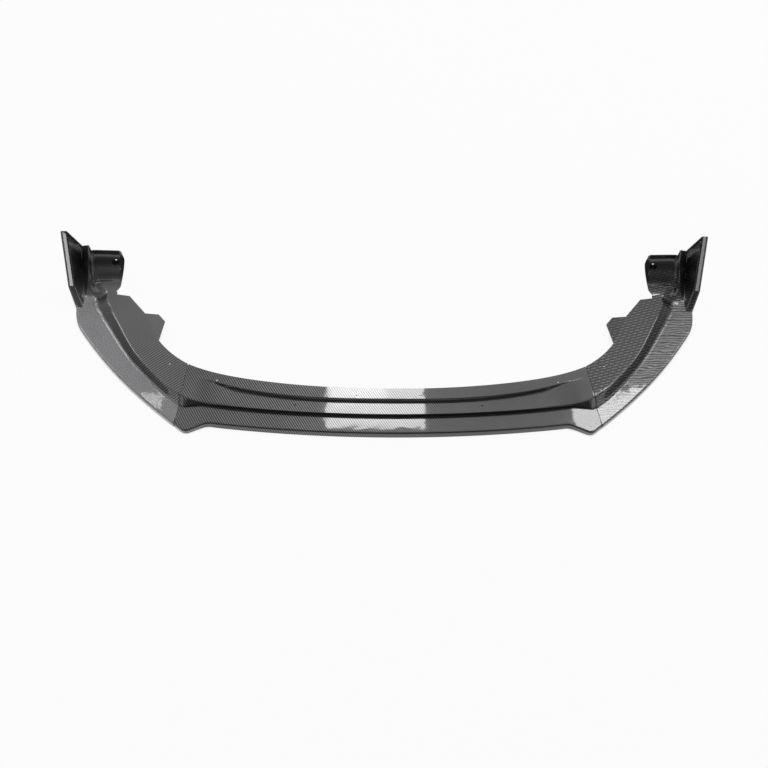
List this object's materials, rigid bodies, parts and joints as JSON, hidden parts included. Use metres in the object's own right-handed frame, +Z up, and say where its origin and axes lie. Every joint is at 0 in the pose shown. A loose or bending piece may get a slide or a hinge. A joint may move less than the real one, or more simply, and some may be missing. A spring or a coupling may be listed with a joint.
{
  "type": "front splitter lip",
  "caption": "Front splitter lip in a centre and two side mouldings bolted at the seams, with stepped bands, upright end fins and screw holes.",
  "frame": {"origin": "centre of the bounding box in plan, at the level of the rim's lower edge, on which the lip rests", "axes": "+X to the right as seen from the front of the car, +Y towards the rear of the car, +Z up"},
  "size_m": [1.802, 0.6334, 0.15],
  "materials": {
    "weave_centre": "gloss lacquer over a printed twill weave",
    "weave_side": "gloss lacquer over a printed twill weave",
    "zinc_steel": "zinc plated"
  },
  "bodies": {
    "root": {"centre_moulding": "weave_centre", "right_side_moulding": "weave_side", "left_side_moulding": "weave_side", "right_seam_bolts": "zinc_steel", "left_seam_bolts": "zinc_steel", "right_seam_washers": "zinc_steel", "left_seam_washers": "zinc_steel", "right_seam_nuts": "zinc_steel", "left_seam_nuts": "zinc_steel"}
  },
  "joints": []
}
